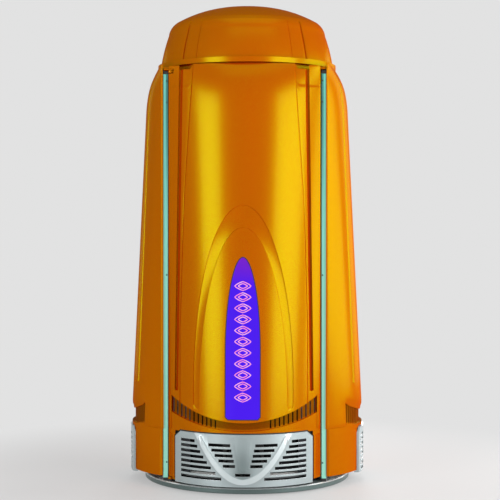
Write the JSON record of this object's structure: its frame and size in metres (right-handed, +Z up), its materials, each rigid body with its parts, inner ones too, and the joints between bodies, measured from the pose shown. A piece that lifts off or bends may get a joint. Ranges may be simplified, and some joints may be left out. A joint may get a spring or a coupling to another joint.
{
  "type": "vertical tanning booth",
  "caption": "Upright walk-in tanning booth: round base, four bowed glossy shells with silver grilles, domed roof, light fins and a lamp door that swings on a vertical hinge.",
  "frame": {"origin": "on the floor under the middle of the booth", "axes": "+Z up, the door faces -Y, the door's hinge is on the -X side"},
  "size_m": [1.144, 1.092, 2.2954],
  "materials": {
    "orange_shell": "pearl gold-orange lacquer, high gloss",
    "silver_grille": "satin silver",
    "silver_base": "silver-grey satin",
    "rubber": "matt",
    "dark_trim": "black, matt",
    "floor": "grey, fine texture",
    "steel_frame": "grey powder coat",
    "light_fin": "edge-lit teal acrylic",
    "fastener": "zinc plated",
    "inner_panel": "white",
    "lamp_glass": "frosted white",
    "reflector": "polished aluminium sheet",
    "clear_shield": "clear acrylic",
    "control_panel": "dark grey, fine texture",
    "display": "tinted",
    "grip_steel": "polished",
    "sign_acrylic": "backlit violet-blue acrylic",
    "button_green": "gloss",
    "button_grey": "gloss",
    "button_red": "gloss"
  },
  "bodies": {
    "cabin": {"base_disc": "silver_base", "rubber_feet": "rubber", "floor_panel": "floor", "base_ring": "dark_trim", "cable_gland": "dark_trim", "frame_posts": "steel_frame", "light_fins": "light_fin", "fin_caps": "dark_trim", "rear_corner_trims": "orange_shell", "fin_screws": "fastener", "roof_deck": "steel_frame", "ceiling_panel": "inner_panel", "exhaust_fan_frame": "dark_trim", "dome": "orange_shell", "dome_collar": "orange_shell", "outlet_grille": "dark_trim", "cabin_lamps": "lamp_glass", "cabin_lampholders": "inner_panel", "cabin_reflectors": "reflector", "cabin_shields": "clear_shield", "right_shell": "orange_shell", "right_apron": "orange_shell", "right_grille": "silver_grille", "left_shell": "orange_shell", "left_apron": "orange_shell", "left_grille": "silver_grille", "rear_shell": "orange_shell", "rear_apron": "orange_shell", "rear_grille": "silver_grille", "lower_hinge_block": "steel_frame", "upper_hinge_bracket": "steel_frame", "control_panel": "control_panel", "display_window": "display", "pillar_covers": "inner_panel", "ceiling_grips": "grip_steel", "ballasts": "steel_frame", "catch_magnets": "fastener"},
    "door": {"door_shell": "orange_shell", "door_apron": "orange_shell", "door_grille": "silver_grille", "grille_seal": "rubber", "sign_panel": "sign_acrylic", "sign_light_box": "steel_frame", "sign_tubes": "lamp_glass", "door_lamps": "lamp_glass", "door_lampholders": "inner_panel", "door_reflector": "reflector", "door_shield": "clear_shield", "door_end_plates": "steel_frame", "door_frame": "steel_frame", "door_pivot_arms": "steel_frame", "door_pull_handle": "grip_steel", "door_seal": "rubber", "catch_plates": "fastener", "intake_fan_frame": "dark_trim"},
    "exhaust_rotor": {"exhaust_rotor": "dark_trim"},
    "intake_rotor": {"intake_rotor": "dark_trim"},
    "start_button": {"start_button": "button_green"},
    "fan_button": {"fan_button": "button_grey"},
    "stop_button": {"stop_button": "button_red"}
  },
  "joints": [
    {"name": "door_swing", "type": "hinge", "parent": "cabin", "child": "door", "pos_m": [-0.348, -0.332, 0.05], "axis": [0, 0, -1], "range_deg": [0, 90]},
    {"name": "exhaust_fan_spin", "type": "hinge", "parent": "cabin", "child": "exhaust_rotor", "pos_m": [0, 0, 2.017], "axis": [0, 0, 1], "continuous": true},
    {"name": "intake_fan_spin", "type": "hinge", "parent": "door", "child": "intake_rotor", "pos_m": [0, -0.481, 0.166], "axis": [0, -1, 0], "continuous": true},
    {"name": "start_press", "type": "slide", "parent": "cabin", "child": "start_button", "axis": [0.7071, 0.7071, 0], "range_m": [0, 0.002], "stiffness_N_per_m": 300, "springref_m": -0.002},
    {"name": "fan_press", "type": "slide", "parent": "cabin", "child": "fan_button", "axis": [0.7071, 0.7071, 0], "range_m": [0, 0.002], "stiffness_N_per_m": 300, "springref_m": -0.002},
    {"name": "stop_press", "type": "slide", "parent": "cabin", "child": "stop_button", "axis": [0.7071, 0.7071, 0], "range_m": [0, 0.002], "stiffness_N_per_m": 300, "springref_m": -0.002}
  ]
}
